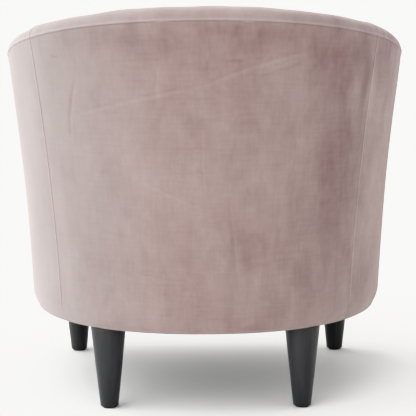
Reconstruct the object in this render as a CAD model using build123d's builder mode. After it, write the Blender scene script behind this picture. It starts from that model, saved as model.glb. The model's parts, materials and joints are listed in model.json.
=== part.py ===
"""Tub club chair: a flared horseshoe shell on a timber frame, a loose seat cushion and four turned legs."""
import os
from math import copysign, cos, hypot, radians, sin

from build123d import *

os.makedirs("parts", exist_ok=True)

# Shell form, in millimetres. The front of the chair faces -Y and the floor is Z = 0.
overall_height = 734.0
leg_height = 154.0
base_width = 688.0
base_depth = 610.0
horseshoe_depth = 374.0
horseshoe_squareness = 2.17
flare = 55.0
flare_hollow = 0.74
rim_slope = 0.2
rim_crown = 26.0
rim_width = 96.0
seat_wall = 108.0
seam_angle = 50.0
arm_lead = 30.0

# Layers of the shell, from the outside in
cover = 1.6
gap = 0.3
wadding = 8.0
board = 3.0
frame_depth = 38.0
cover_tuck = 31.0
dust_margin = 0.6

# Timber frame
plywood = 18.0
base_rail_width = 90.0
shelf_width = 76.0
upright_width = 22.0
upright_play = 0.6
back_upright_angle = 18.0
arm_upright_depth = 450.0
front_rail_top = 289.0
front_rail_thickness = 22.0
facing_board = 9.0
block_leg = 36.0
block_height = 60.0

# Seat deck and cushion
spring_wire = 3.6
spring_pitch = 50.0
spring_run = 22.0
spring_spacing = 100.0
spring_count = 4
clip_plate = 1.5
clip_width = 14.0
clip_foot = 18.0
felt = 4.0
platform = 25.0
deck_margin = 3.0
front_padding = 8.0
border_return = 46.0
cushion_height = 106.0
cushion_crown = 17.0
crown_reach = 120.0
cushion_clearance = 3.0
cushion_front_set = 4.0
cushion_front_draw = 6.0
cushion_corner = 38.0
cushion_edge = 22.0

# Legs and their fixings
leg_top = 65.0
leg_foot = 33.0
leg_chamfer = 2.0
rear_leg_angle = 33.8
rear_leg_inset = 39.0
front_leg_inset = 69.0
front_leg_setback = 70.0
glide_height = 3.0
glide_width = 26.0
bolt = 8.0
bolt_grip = 34.0
nut_flange = 22.0
nut_plate = 1.5
nut_barrel = 10.0
nut_length = 9.0
bore_play = 0.1

# Depths below the face of the outer cover, and the radius its foot is rolled to
wadding_out = cover + gap
wadding_in = wadding_out + wadding
liner_out = wadding_in + gap
liner_in = liner_out + board
frame_out = liner_in + gap
frame_in = frame_out + frame_depth
inner_liner_out = frame_in + gap
inner_liner_in = inner_liner_out + board
foam_out = inner_liner_in + gap
foot_radius = wadding_out + 0.9 * wadding
half_round = 0.5**0.5

# Heights of the flat layers
rail_low = leg_height + cover
rail_high = rail_low + plywood
shelf_low = front_rail_top - plywood
wall_low = front_rail_top + gap
spring_level = front_rail_top + clip_plate + spring_wire / 2 + gap
clip_high = spring_level + spring_wire / 2 + gap + clip_plate
felt_low = clip_high + gap
platform_low = felt_low + felt + gap
deck_low = platform_low + platform + gap
deck_high = deck_low + cover
cushion_low = deck_high + 2 * gap

# Depths from the rearmost point of the shell's foot
cover_back = base_depth - cover
padding_front = cover_back - gap
padding_back = padding_front - front_padding
layer_front = padding_back - gap
board_back = layer_front - facing_board
rail_back = layer_front - front_rail_thickness


def lean(height):
    """How far the outer cover has flared out at this height."""
    rise = (height - leg_height) / (overall_height - leg_height)
    return flare * ((1 - flare_hollow) * rise + flare_hollow * rise**2)


# Y of the rearmost point of the foot, with the origin under the middle of the chair
back_y = (base_depth - lean(overall_height - rim_crown)) / 2
seat_face = seat_wall - lean(deck_low)
rim_radius = (rim_width**2 / 4 + rim_crown**2) / (2 * rim_crown)
rim_skew = 2 * rim_radius / rim_width


def station(angle, forward=0.0):
    """Upright plane across the shell. Its x axis points out of the shell and its y axis points up."""
    turn = radians(abs(angle))
    side = copysign(1, angle)
    across = sin(turn) ** (2 / horseshoe_squareness)
    along = max(cos(turn), 0) ** (2 / horseshoe_squareness)
    out_x = across ** (horseshoe_squareness - 1) / (base_width / 2)
    out_y = along ** (horseshoe_squareness - 1) / horseshoe_depth
    length = hypot(out_x, out_y)
    outward = Vector(side * out_x / length, out_y / length, 0)
    origin = Vector(side * base_width / 2 * across, back_y - horseshoe_depth * (1 - along) - forward, 0)
    return Plane(origin=origin, x_dir=outward, z_dir=outward.cross(Vector(0, 0, 1)))


def spread(first, last, count):
    """Evenly spaced values from first to last."""
    return [first + (last - first) * step / (count - 1) for step in range(count)]


def back_stations():
    """Stations of a piece that wraps round the back, from seam to seam."""
    return [station(angle) for angle in spread(-seam_angle, seam_angle, 9)]


def loft_back(section_of):
    """Loft a piece of the shell round the back, from seam to seam."""
    loft(sections=[section_of(plane) for plane in back_stations()])


def loft_side(section_of, side, front):
    """Loft a piece of the shell from an upright seam round the bend and straight on to the front of an arm."""
    bend = [station(side * angle) for angle in spread(seam_angle, 90, 6)]
    bend.append(station(side * 90, arm_lead))
    loft(sections=[section_of(plane) for plane in bend])
    arm = [bend[-1], station(side * 90, front - horseshoe_depth)]
    loft(sections=[section_of(plane) for plane in arm], ruled=True)


def bend_post(angle):
    """Two stations as far apart as an upright is wide, in the bend of the shell."""
    degree = (station(angle + 1).origin - station(angle).origin).length
    step = upright_width / 2 / degree
    return [station(angle - step), station(angle + step)]


def arm_slice(side, front, thickness):
    """Two stations across an arm, the first this far in front of the back and the other behind it."""
    return [station(side * 90, depth - horseshoe_depth) for depth in (front, front - thickness)]


def seam_height(plane):
    """Height of the seam under the rim, which falls from the back to the front of the arms."""
    behind = back_y - plane.origin.Y + flare * (1 - plane.x_dir.Y)
    return overall_height - rim_slope * behind - rim_crown


def inner_depth(plane, height):
    """Depth of the inner cover's face. The wall is thicker at the seat than under the rim."""
    share = (height - deck_low) / (seam_height(plane) - deck_low)
    return seat_wall + (rim_width - seat_wall) * share


def edge_points(low, high, low_depth, high_depth):
    """Three points of an upright edge that follows the flare at these depths."""
    middle = (low + high) / 2
    depth = (low_depth + high_depth) / 2
    return (lean(low) - low_depth, low), (lean(middle) - depth, middle), (lean(high) - high_depth, high)


def strip(plane, low, high, outside, inside):
    """Cross-section of a layer that follows the flare. outside and inside are depths at the low and high ends."""
    with BuildSketch(plane) as section:
        with BuildLine():
            outer = ThreePointArc(*edge_points(low, high, *outside))
            inner = ThreePointArc(*edge_points(low, high, *inside))
            Line(outer @ 0, inner @ 0)
            Line(outer @ 1, inner @ 1)
        make_face()
    return section.sketch


def plank(plane, low, high, outside, inside):
    """Square-edged cross-section of a board that lies flat between these depths, clear of the leaning layers."""
    outer = lean(low) - outside
    inner = lean(high) - inside
    with BuildSketch(plane) as section:
        with Locations(((outer + inner) / 2, (low + high) / 2)):
            Rectangle(outer - inner, high - low)
    return section.sketch


def foot_roll(inset):
    """Three points of the rolled foot, from the side of the shell to its underside."""
    radius = foot_radius - inset
    low = leg_height + foot_radius
    turn = (half_round * radius - foot_radius, low - half_round * radius)
    return (lean(low) - inset, low), turn, (-foot_radius, leg_height + inset)


def rim_roll(plane, inset):
    """Three points of the rolled rim, from the outer seam over the crest to the inner seam."""
    seam = seam_height(plane)
    outer = lean(seam)
    step = inset * rim_skew
    crest = (outer - rim_width / 2, seam + rim_crown - inset)
    return (outer - step, seam), crest, (outer - rim_width + step, seam)


def outer_cover_section(plane):
    """The outer cover, rolled under the frame and tucked flat below it."""
    knee = leg_height + foot_radius
    high = seam_height(plane) - gap
    with BuildSketch(plane) as section:
        with BuildLine():
            face = ThreePointArc(*edge_points(knee, high, 0, 0))
            back = ThreePointArc(*edge_points(knee, high, cover, cover))
            roll = ThreePointArc(*foot_roll(0))
            lining = ThreePointArc(*foot_roll(cover))
            Line(face @ 1, back @ 1)
            Polyline(roll @ 1, (-cover_tuck, leg_height), (-cover_tuck, rail_low), lining @ 1)
        make_face()
    return section.sketch


def wadding_section(plane):
    """The wadding under the outer cover, with its rolled foot."""
    knee = leg_height + foot_radius
    low = leg_height + wadding_out
    high = seam_height(plane) - gap
    with BuildSketch(plane) as section:
        with BuildLine():
            face = ThreePointArc(*edge_points(knee, high, wadding_out, wadding_out))
            back = ThreePointArc(*edge_points(low, high, wadding_in, wadding_in))
            roll = ThreePointArc(*foot_roll(wadding_out))
            Line(face @ 1, back @ 1)
            Line(roll @ 1, back @ 0)
        make_face()
    return section.sketch


def rim_cover_section(plane):
    """The band of cover over the rim."""
    with BuildSketch(plane) as section:
        with BuildLine():
            face = ThreePointArc(*rim_roll(plane, 0))
            back = ThreePointArc(*rim_roll(plane, cover))
            Line(face @ 0, back @ 0)
            Line(face @ 1, back @ 1)
        make_face()
    return section.sketch


def rim_foam_section(plane):
    """The foam roll that gives the rim its crown."""
    with BuildSketch(plane) as section:
        with BuildLine():
            crown = ThreePointArc(*rim_roll(plane, wadding_out))
            Line(crown @ 0, crown @ 1)
        make_face()
    return section.sketch


def arm_end_section(plane, inset):
    """Outline of an arm seen from the front, from the underside over the rim and down to the seat."""
    knee = leg_height + foot_radius
    seam = seam_height(plane)
    inside = (seat_wall - inset, rim_width - inset * rim_skew)
    with BuildSketch(plane) as section:
        with BuildLine():
            face = ThreePointArc(*edge_points(knee, seam, inset, inset * rim_skew))
            rim = ThreePointArc(*rim_roll(plane, inset))
            back = ThreePointArc(*edge_points(deck_low, seam, *inside))
            roll = ThreePointArc(*foot_roll(inset))
            Polyline(back @ 0, (inset - seat_face, leg_height + inset), roll @ 1)
        make_face()
    return section.sketch


def plan(height, depth, front, draw=0.0, corner=0.0):
    """Flat horseshoe this far inside the shell's foot. draw pulls the middle of its front edge in."""
    side_x = base_width / 2 - depth
    front_y = back_y - front
    bends = [station(angle) for angle in spread(-90, 90, 13)]
    points = [plane.origin - plane.x_dir * depth for plane in bends]
    with BuildSketch(Plane.XY.offset(height)) as section:
        with BuildLine():
            flat_points = [(point.X, point.Y) for point in points]
            bend = Spline(flat_points, tangents=[(0, 1), (0, -1)], tangent_scalars=[1, 1])
            left = Line(bend @ 1, (side_x, front_y))
            right = Line((-side_x, front_y), bend @ 0)
            if draw:
                ThreePointArc(left @ 1, (0, front_y + draw), right @ 0)
            else:
                Line(left @ 1, right @ 0)
        make_face()
        if corner:
            fillet(section.vertices().group_by(Axis.Y)[0], corner)
    return section.sketch


def save(piece, name):
    """Label a finished piece and write it."""
    piece.part.label = name
    export_step(piece.part, f"parts/{name}.step")


sides = ((1, "left"), (-1, "right"))
feet = {}
for side, name in sides:
    rear = station(side * rear_leg_angle)
    rear_foot = rear.origin - rear.x_dir * rear_leg_inset
    feet[f"rear_{name}"] = (rear_foot.X, rear_foot.Y)
    feet[f"front_{name}"] = (side * (base_width / 2 - front_leg_inset), back_y - base_depth + front_leg_setback)


# Base rails, with a bore for the nut of each leg
def base_rail_section(plane):
    """Flat plywood rail at the foot of the shell."""
    return plank(plane, rail_low, rail_high, frame_out, frame_out + base_rail_width)


with BuildPart() as base_rail_back:
    loft_back(base_rail_section)
    with Locations(feet["rear_left"], feet["rear_right"]):
        Cylinder(nut_barrel / 2 + bore_play, 2 * rail_high, mode=Mode.SUBTRACT)
save(base_rail_back, "base_rail_back")

with BuildPart() as base_side_rails:
    for side, name in sides:
        loft_side(base_rail_section, side, layer_front)
    with Locations(feet["front_left"], feet["front_right"]):
        Cylinder(nut_barrel / 2 + bore_play, 2 * rail_high, mode=Mode.SUBTRACT)
save(base_side_rails, "base_side_rails")

with BuildPart() as base_rail_front:
    with BuildSketch(Plane.XY.offset(rail_low)):
        with Locations((0, back_y - layer_front)):
            span = base_width - 2 * (frame_out + base_rail_width + gap)
            Rectangle(span, base_rail_width, align=(Align.CENTER, Align.MIN))
    extrude(amount=plywood)
save(base_rail_front, "base_rail_front")


# Seat rails: a shelf round the inside of the frame and an upright rail at the front
def shelf_section(plane):
    """Flat plywood shelf that carries the inner padding and the rear ends of the springs."""
    return plank(plane, shelf_low, front_rail_top, frame_in + gap, frame_in + gap + shelf_width)


with BuildPart() as seat_rail_back:
    loft_back(shelf_section)
save(seat_rail_back, "seat_rail_back")

with BuildPart() as seat_side_rails:
    for side, name in sides:
        loft_side(shelf_section, side, rail_back - gap)
save(seat_side_rails, "seat_side_rails")

with BuildPart() as seat_rail_front:
    with BuildSketch(Plane.XY.offset(rail_high)):
        with Locations((0, back_y - layer_front)):
            Rectangle(base_width - 2 * foam_out, front_rail_thickness, align=(Align.CENTER, Align.MIN))
    extrude(amount=front_rail_top - rail_high)
save(seat_rail_front, "seat_rail_front")


# Top rails, which follow the slope of the rim
def top_rail_section(plane):
    """Plywood rail under the foam roll of the rim."""
    high = seam_height(plane) - gap
    return plank(plane, high - plywood, high, frame_out, frame_in)


with BuildPart() as top_rail_back:
    loft_back(top_rail_section)
save(top_rail_back, "top_rail_back")

for side, name in sides:
    with BuildPart() as top_rail_side:
        loft_side(top_rail_section, side, board_back)
    save(top_rail_side, f"top_rail_{name}")


# Uprights between the base rails and the top rails, in pairs
def upright_section(plane):
    """Sawn upright that follows the flare. Its flat inner face stays clear of the curved lining board."""
    high = seam_height(plane) - 2 * gap - plywood
    inside = frame_in - upright_play
    return strip(plane, rail_high, high, (frame_out, frame_out), (inside, inside))


with BuildPart() as back_uprights:
    for side, name in sides:
        loft(sections=[upright_section(plane) for plane in bend_post(side * back_upright_angle)])
save(back_uprights, "back_uprights")

with BuildPart() as corner_uprights:
    for side, name in sides:
        loft(sections=[upright_section(plane) for plane in bend_post(side * seam_angle)])
save(corner_uprights, "corner_uprights")

with BuildPart() as arm_uprights:
    for side, name in sides:
        loft(sections=[upright_section(plane) for plane in arm_slice(side, arm_upright_depth, upright_width)])
save(arm_uprights, "arm_uprights")

with BuildPart() as arm_posts:
    for side, name in sides:
        loft(sections=[upright_section(plane) for plane in arm_slice(side, board_back, upright_width)])
save(arm_posts, "arm_posts")


# Facing boards on the arm posts
def facing_section(plane):
    """Thin board that closes the front of an arm's frame."""
    high = seam_height(plane) - gap
    return strip(plane, rail_high, high, (liner_out, liner_out), (inner_liner_in, inner_liner_in))


with BuildPart() as arm_facings:
    for side, name in sides:
        loft(sections=[facing_section(plane) for plane in arm_slice(side, layer_front, facing_board)])
save(arm_facings, "arm_facings")

# Glue blocks in the two front corners
with BuildPart() as corner_blocks:
    for side, name in sides:
        corner_x = side * (base_width / 2 - frame_in - gap)
        corner_y = back_y - rail_back + gap
        with BuildSketch(Plane.XY.offset(rail_high)):
            with BuildLine():
                Polyline(
                    (corner_x, corner_y),
                    (corner_x - side * block_leg, corner_y),
                    (corner_x, corner_y + block_leg),
                    close=True,
                )
            make_face()
        extrude(amount=block_height)
save(corner_blocks, "corner_blocks")


# Lining boards, padding and covers of the shell, each in a back and two side lengths
def outer_liner_section(plane):
    """Board stapled to the outside of the frame."""
    high = seam_height(plane) - gap
    return strip(plane, rail_low + gap, high, (liner_out, liner_out), (liner_in, liner_in))


def inner_liner_section(plane):
    """Board stapled to the inside of the frame, above the shelf."""
    high = seam_height(plane) - gap
    return strip(plane, wall_low, high, (inner_liner_out, inner_liner_out), (inner_liner_in, inner_liner_in))


def inner_foam_section(plane):
    """Foam between the inner lining board and the inner cover. It stands on the shelf."""
    high = seam_height(plane) - gap
    inside = (inner_depth(plane, wall_low) - wadding_out, inner_depth(plane, high) - wadding_out)
    return strip(plane, wall_low, high, (foam_out, foam_out), inside)


def inner_cover_section(plane):
    """Cover on the inside of the shell, down to the seat deck."""
    low = deck_low + gap
    high = seam_height(plane) - gap
    inside = (inner_depth(plane, low), inner_depth(plane, high))
    return strip(plane, low, high, (inside[0] - cover, inside[1] - cover), inside)


layers = (
    ("outer_liner", outer_liner_section, board_back),
    ("inner_liner", inner_liner_section, board_back),
    ("outer_wadding", wadding_section, layer_front),
    ("inner_foam", inner_foam_section, layer_front),
    ("rim_foam", rim_foam_section, layer_front),
    ("outer_cover", outer_cover_section, cover_back),
    ("inner_cover", inner_cover_section, cover_back),
    ("rim_cover", rim_cover_section, cover_back),
)
for layer, section_of, front in layers:
    with BuildPart() as back_length:
        loft_back(section_of)
    save(back_length, f"{layer}_back")

    for side, name in sides:
        with BuildPart() as side_length:
            loft_side(section_of, side, front)
        save(side_length, f"{layer}_{name}")

# Arm fronts
with BuildPart() as arm_front_padding:
    for side, name in sides:
        ends = arm_slice(side, padding_front, front_padding)
        loft(sections=[arm_end_section(plane, wadding_out) for plane in ends])
save(arm_front_padding, "arm_front_padding")

for side, name in sides:
    with BuildPart() as arm_front_cover:
        loft(sections=[arm_end_section(plane, 0) for plane in arm_slice(side, base_depth, cover)])
    save(arm_front_cover, f"arm_front_cover_{name}")

# Front border between the arms, drawn as a cross-section whose x axis points forward
border_half = base_width / 2 - seat_face - gap
border_plane = Plane(origin=(border_half, back_y, 0), x_dir=(0, -1, 0), z_dir=(-1, 0, 0))
with BuildPart() as front_border_cover:
    with BuildSketch(border_plane):
        with BuildLine():
            face = FilletPolyline(
                (base_depth - cover_tuck, leg_height),
                (base_depth, leg_height),
                (base_depth, deck_high),
                (base_depth - border_return, deck_high),
                radius=foot_radius,
            )
            lining = FilletPolyline(
                (base_depth - cover_tuck, rail_low),
                (cover_back, rail_low),
                (cover_back, deck_low),
                (base_depth - border_return, deck_low),
                radius=foot_radius - cover,
            )
            Line(face @ 0, lining @ 0)
            Line(face @ 1, lining @ 1)
        make_face()
    extrude(amount=2 * border_half)
save(front_border_cover, "front_border_cover")

with BuildPart() as front_border_padding:
    with BuildSketch(border_plane):
        with BuildLine():
            roll = FilletPolyline(
                (padding_back, leg_height + wadding_out),
                (padding_front, leg_height + wadding_out),
                (padding_front, deck_low - gap),
                (padding_back, deck_low - gap),
                radius=foot_radius - wadding_out,
            )
            Line(roll @ 1, roll @ 0)
        make_face()
    extrude(amount=2 * border_half)
save(front_border_padding, "front_border_padding")

# Sinuous springs from the front rail to the back shelf, held by clips
shelf_clip = frame_in + shelf_width - clip_foot / 2
rail_clip = rail_back + front_rail_thickness / 2


def shelf_depth(across):
    """Depth of the back shelf's row of clips at this distance from the middle of the chair."""
    low, high = 0.0, 90.0
    for step in range(40):
        angle = (low + high) / 2
        plane = station(angle)
        if (plane.origin - plane.x_dir * shelf_clip).X < abs(across):
            low = angle
        else:
            high = angle
    return back_y - (plane.origin - plane.x_dir * shelf_clip).Y


spring_places = [spring_spacing * (step - (spring_count - 1) / 2) for step in range(spring_count)]
with BuildPart() as seat_springs:
    for across in spring_places:
        length = rail_clip - shelf_depth(across)
        turns = round(length / spring_pitch)
        pitch = length / turns
        with BuildLine(Plane.XY.offset(spring_level)) as wire:
            for turn in range(turns + 1):
                way = -1 if turn % 2 else 1
                level = back_y - rail_clip + turn * pitch
                bar = Line((across - way * spring_run / 2, level), (across + way * spring_run / 2, level))
                if turn < turns:
                    bulge = (across + way * (spring_run / 2 + pitch / 2), level + pitch / 2)
                    ThreePointArc(bar @ 1, bulge, (across + way * spring_run / 2, level + pitch))
        with BuildSketch(Plane(origin=wire.line @ 0, z_dir=wire.line % 0)):
            Circle(spring_wire / 2)
        sweep(path=wire.line)
save(seat_springs, "seat_springs")

tunnel = spring_wire / 2 + gap
with BuildPart() as spring_clips:
    for across in spring_places:
        for depth in (rail_clip, shelf_depth(across)):
            clip_origin = (across + clip_width / 2, back_y - depth, 0)
            with BuildSketch(Plane(origin=clip_origin, x_dir=(0, -1, 0), z_dir=(-1, 0, 0))):
                with Locations((0, front_rail_top)):
                    Rectangle(clip_foot, clip_plate, align=(Align.CENTER, Align.MIN))
                    arch = spring_level - front_rail_top
                    Rectangle(2 * (tunnel + clip_plate), arch, align=(Align.CENTER, Align.MIN))
                with Locations((0, spring_level)):
                    Circle(tunnel + clip_plate)
                    Circle(tunnel, mode=Mode.SUBTRACT)
                    rise = spring_level - front_rail_top - clip_plate
                    Rectangle(2 * tunnel, rise, align=(Align.CENTER, Align.MAX), mode=Mode.SUBTRACT)
            extrude(amount=clip_width)
save(spring_clips, "spring_clips")

# Seat deck
deck_depth = seat_face + deck_margin
with BuildPart() as spring_felt:
    extrude(plan(felt_low, deck_depth, layer_front), amount=felt)
save(spring_felt, "spring_felt")

with BuildPart() as platform_foam:
    extrude(plan(platform_low, deck_depth, layer_front), amount=platform)
save(platform_foam, "platform_foam")

with BuildPart() as platform_cloth:
    extrude(plan(deck_low, deck_depth, base_depth - border_return - gap), amount=cover)
save(platform_cloth, "platform_cloth")


# Loose seat cushion
def cushion_block(inset):
    """Crowned cushion with rounded edges that widens with the shell, this far inside the cushion's face."""
    low = cushion_low + inset
    shoulder = cushion_low + cushion_height - inset
    edge = cushion_edge - inset
    turns = [radians(turn) for turn in (90, 45)]
    body = [(edge * (1 - cos(turn)), low + edge * (1 - sin(turn))) for turn in turns]
    body += [(0, height) for height in spread(low + edge, shoulder - edge, 5)]
    body += [(edge * (1 - cos(turn)), shoulder - edge * (1 - sin(turn))) for turn in reversed(turns)]
    crown = []
    for share in spread(0, 1, 4):
        crown.append((edge + share * crown_reach, shoulder + cushion_crown * share * (2 - share)))
    with BuildPart() as block:
        for steps in (body, crown):
            sections = []
            for step, height in steps:
                depth = seat_wall - lean(height) + cushion_clearance + inset + step
                front = base_depth - cushion_front_set - inset - step
                sections.append(plan(height, depth, front, cushion_front_draw, cushion_corner))
            loft(sections=sections)
    return block.part


with BuildPart() as cushion_cover:
    add(cushion_block(0))
    add(cushion_block(cover), mode=Mode.SUBTRACT)
save(cushion_cover, "cushion_cover")

with BuildPart() as cushion_core:
    add(cushion_block(wadding_out))
save(cushion_core, "cushion_core")

# Dust cover under the frame, with a hole for each leg bolt
with BuildPart() as dust_cover:
    extrude(plan(leg_height, cover_tuck + dust_margin, base_depth - cover_tuck - dust_margin), amount=cover)
    with Locations(*feet.values()):
        Cylinder(nut_barrel / 2 + bore_play, 2 * rail_high, mode=Mode.SUBTRACT)
save(dust_cover, "dust_cover")

# Legs, their bolts and nuts, and the glides under them
for name, foot in feet.items():
    with BuildPart() as leg:
        with BuildSketch(Plane(origin=(*foot, 0), x_dir=(1, 0, 0), z_dir=(0, -1, 0))):
            with BuildLine():
                Polyline(
                    (0, glide_height),
                    (leg_foot / 2 - leg_chamfer, glide_height),
                    (leg_foot / 2, glide_height + leg_chamfer),
                    (leg_top / 2, leg_height),
                    (bolt / 2 + bore_play, leg_height),
                    (bolt / 2 + bore_play, leg_height - bolt_grip),
                    (0, leg_height - bolt_grip),
                    close=True,
                )
            make_face()
        revolve(axis=Axis((*foot, 0), (0, 0, 1)))
    save(leg, f"leg_{name}")

with BuildPart() as leg_bolts:
    with BuildSketch(Plane.XY.offset(leg_height - bolt_grip)):
        with Locations(*feet.values()):
            Circle(bolt / 2)
    extrude(amount=rail_high + nut_plate - leg_height + bolt_grip)
save(leg_bolts, "leg_bolts")

with BuildPart() as tee_nuts:
    with BuildSketch(Plane.XY.offset(rail_high)):
        with Locations(*feet.values()):
            Circle(nut_flange / 2)
            Circle(bolt / 2 + bore_play, mode=Mode.SUBTRACT)
    extrude(amount=nut_plate)
    with BuildSketch(Plane.XY.offset(rail_high)):
        with Locations(*feet.values()):
            Circle(nut_barrel / 2)
            Circle(bolt / 2 + bore_play, mode=Mode.SUBTRACT)
    extrude(amount=-nut_length)
save(tee_nuts, "tee_nuts")

with BuildPart() as glides:
    with BuildSketch():
        with Locations(*feet.values()):
            Circle(glide_width / 2)
    extrude(amount=glide_height)
    chamfer(glides.faces().filter_by(Plane.XY).group_by(Axis.Z)[0].edges(), glide_height / 3)
save(glides, "glides")
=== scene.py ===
import json
from math import cos, pi, radians, sin

import bpy
import numpy as np
from mathutils import Matrix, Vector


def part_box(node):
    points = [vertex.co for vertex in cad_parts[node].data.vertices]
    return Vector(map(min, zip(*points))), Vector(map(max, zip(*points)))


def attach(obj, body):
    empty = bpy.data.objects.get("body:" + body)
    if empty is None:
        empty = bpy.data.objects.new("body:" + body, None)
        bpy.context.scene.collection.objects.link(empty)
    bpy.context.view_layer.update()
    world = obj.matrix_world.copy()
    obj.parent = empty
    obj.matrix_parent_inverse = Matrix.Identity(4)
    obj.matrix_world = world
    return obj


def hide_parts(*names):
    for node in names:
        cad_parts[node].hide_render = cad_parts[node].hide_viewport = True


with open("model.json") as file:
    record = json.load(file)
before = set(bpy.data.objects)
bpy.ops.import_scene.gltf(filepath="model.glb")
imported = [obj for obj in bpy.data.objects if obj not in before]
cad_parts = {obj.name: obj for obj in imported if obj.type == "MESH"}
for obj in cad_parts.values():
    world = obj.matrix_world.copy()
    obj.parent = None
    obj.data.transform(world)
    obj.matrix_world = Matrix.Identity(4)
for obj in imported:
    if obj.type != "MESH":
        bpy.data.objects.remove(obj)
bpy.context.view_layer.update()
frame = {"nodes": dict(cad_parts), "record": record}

print("frame loaded with", len(frame["nodes"]), "nodes")

# the shell's form, repeated from the part's source, in metres
shell = {
    "height": 0.734, "legHeight": 0.154, "width": 0.688, "depth": 0.610,
    "bend": 0.374, "squareness": 2.17, "seamAngle": 50,
    "flare": 0.055, "hollow": 0.74,
    "rimSlope": 0.2, "rimCrown": 0.026, "rimWidth": 0.096, "rimRoundness": 2.9, "rimPressed": 0.0014,
    "seatWall": 0.108, "footRadius": 0.0150, "tuck": 0.031, "railLow": 0.1556,
    "wallLow": 0.2893, "deckLow": 0.3261, "deckHigh": 0.3277,
}


def lean(z):
    rise = (z - shell["legHeight"]) / (shell["height"] - shell["legHeight"])
    return shell["flare"] * ((1 - shell["hollow"]) * rise + shell["hollow"] * rise**2)


# 1 at the middle, falling away on both sides over this width
def bell(distance, width):
    return np.exp(-((distance / width) ** 2))


# rises from 0 to 1 over this reach
def upTo(distance, reach):
    return np.clip(distance / reach, 0, 1)


# from 0 to 1 with soft ends
def eased(share):
    share = np.clip(share, 0, 1)
    return share**2 * (3 - 2 * share)


backY = (shell["depth"] - lean(shell["height"] - shell["rimCrown"])) / 2
frontY = backY - shell["depth"]
seatFace = shell["seatWall"] - lean(shell["deckLow"])
knee = shell["legHeight"] + shell["footRadius"]
# gap between a cover and what it is sewn to
sewGap = 0.0003
# the foot's roll is taller round the rear corners, where the cover is pulled tighter
cornerRoll = {"tall": 0.038, "arc": 0.40, "reach": 0.14, "linerCover": 0.0090}


# section of the rolled rim, from its outer seam over the crown to its inner seam
def traceRoll():
    turn = np.linspace(0, pi, 1201)
    power = 2 / shell["rimRoundness"]
    across = np.sign(np.cos(turn)) * np.abs(np.cos(turn)) ** power
    out = (across - 1) * shell["rimWidth"] / 2
    up = np.abs(np.sin(turn)) ** power * (shell["rimCrown"] - shell["rimPressed"])
    return {"out": out, "up": up, "arc": np.append(0, np.cumsum(np.hypot(np.diff(out), np.diff(up))))}


roll = traceRoll()
rollRun = roll["arc"][-1]


# half of the shell's foot line, from the middle of the back to the front of an arm
def traceFoot():
    power = 2 / shell["squareness"]
    turn = np.linspace(0, pi / 2, 1441)
    across = np.sin(turn) ** power
    along = np.clip(np.cos(turn), 0, 1) ** power
    outX = across ** (shell["squareness"] - 1) * 2 / shell["width"]
    outY = along ** (shell["squareness"] - 1) / shell["bend"]
    size = np.hypot(outX, outY)
    arm = np.linspace(0, shell["depth"] - shell["bend"], 80)[1:]
    x = np.append(shell["width"] / 2 * across, np.full(len(arm), shell["width"] / 2))
    y = np.append(backY - shell["bend"] * (1 - along), backY - shell["bend"] - arm)
    arc = np.append(0, np.cumsum(np.hypot(np.diff(x), np.diff(y))))
    return {
        "arc": arc, "x": x, "y": y,
        "outX": np.append(outX / size, np.ones(len(arm))),
        "outY": np.append(outY / size, np.zeros(len(arm))),
        "seam": np.interp(radians(shell["seamAngle"]), turn, arc[:len(turn)]),
        "front": arc[-1],
    }


foot = traceFoot()


# the upright seams slant: they stand further round the shell at the rim than at the foot
slant = {"rim": 0.009, "foot": -0.009, "reach": 0.07}


def slid(arcs, share):
    near = bell(np.abs(arcs) - foot["seam"], slant["reach"])
    return arcs + np.sign(arcs) * near * (slant["foot"] + (slant["rim"] - slant["foot"]) * share)


# places on the foot line at these arc lengths; negative ones are on the sitter's right
def placesAt(arcs):
    side = np.where(arcs < 0, -1.0, 1.0)
    found = {key: np.interp(np.abs(arcs), foot["arc"], foot[key]) for key in ("x", "y", "outX", "outY")}
    size = np.hypot(found["outX"], found["outY"])
    found["x"] = found["x"] * side
    found["outX"] = found["outX"] / size * side
    found["outY"] = found["outY"] / size
    behind = backY - found["y"] + shell["flare"] * (1 - found["outY"])
    found["seam"] = shell["height"] - shell["rimSlope"] * behind - shell["rimCrown"]
    return found


# height of the rim's seam at these arcs, as a column
def rimSeam(arcs):
    return placesAt(slid(arcs, 1.0))["seam"][:, None]


def innerDepth(z, seam):
    share = (z - shell["deckLow"]) / (seam - shell["deckLow"])
    return shell["seatWall"] + (shell["rimWidth"] - shell["seatWall"]) * np.clip(share, 0, 1)


# values from start to stop that crowd towards the sewn ends
def spaced(start, stop, step, fine=0.0005, reach=0.014, ends=(True, True)):
    line = np.linspace(start, stop, 4001)
    near = np.full(line.shape, 1e3)
    if ends[0]:
        near = np.minimum(near, np.abs(line - start))
    if ends[1]:
        near = np.minimum(near, np.abs(stop - line))
    size = fine + (step - fine) * eased(near / reach)
    gap = abs(stop - start) / 4000
    count = np.append(0, np.cumsum((1 / size[1:] + 1 / size[:-1]) / 2 * gap))
    return np.interp(np.linspace(0, count[-1], int(count[-1]) + 2), count, line)


# a soft, repeatable unevenness made of crossing waves, from about -1 to 1
def uneven(across, up, length, seed, count=9):
    draw = np.random.default_rng(seed)
    total = np.zeros(np.broadcast(across, up).shape)
    for step in range(count):
        way = draw.uniform(0, 2 * pi)
        wave = 2 * pi / (length * draw.uniform(0.7, 1.5))
        total += np.cos(wave * (across * cos(way) + up * sin(way)) + draw.uniform(0, 2 * pi))
    return total / (count * 0.5) ** 0.5 * 0.7


# how far cloth dips into a seam at this distance from it, with a round shoulder
def dip(distance, width, depth):
    near = np.clip(1 - distance / width, 0, 1)
    return depth * (1 - np.sqrt(1 - near**2))


def deselect():
    if bpy.context.object and bpy.context.object.mode != "OBJECT":
        bpy.ops.object.mode_set(mode="OBJECT")
    bpy.ops.object.select_all(action="DESELECT")


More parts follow.
